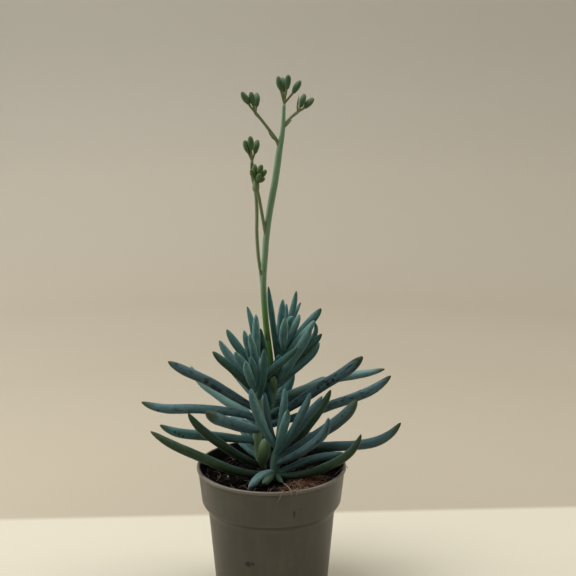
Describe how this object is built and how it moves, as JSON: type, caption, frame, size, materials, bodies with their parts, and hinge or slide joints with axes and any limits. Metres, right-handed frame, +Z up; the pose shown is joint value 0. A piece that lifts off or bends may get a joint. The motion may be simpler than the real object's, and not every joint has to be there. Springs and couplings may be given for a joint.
{
  "type": "potted blue chalksticks",
  "caption": "Succulent with finger-like blue-green leaves on upright stems and a branched spray of closed buds, standing in a thin round nursery pot filled with soil.",
  "frame": {"origin": "centre of the pot's flat underside", "axes": "+Z up along the pot's axis; -Y towards the front of the plant; +X to the plant's right as seen from the front"},
  "size_m": [0.1819, 0.1277, 0.3641],
  "materials": {
    "pot_plastic": "satin taupe grey moulded plastic",
    "soil": "dark moist potting mix with coarse reddish fibre",
    "left_leaf": "waxy blue-green leaf with pale bloom",
    "middle_leaf": "waxy blue-green leaf with pale bloom",
    "front_leaf": "waxy blue-green leaf with pale bloom",
    "flower_stalk": "satin green stalk and buds"
  },
  "bodies": {
    "root": {"pot": "pot_plastic", "soil": "soil", "left_leafy_stem": "left_leaf", "flowering_leafy_stem": "middle_leaf", "front_leafy_stem": "front_leaf", "flower_spray": "flower_stalk"}
  },
  "joints": []
}
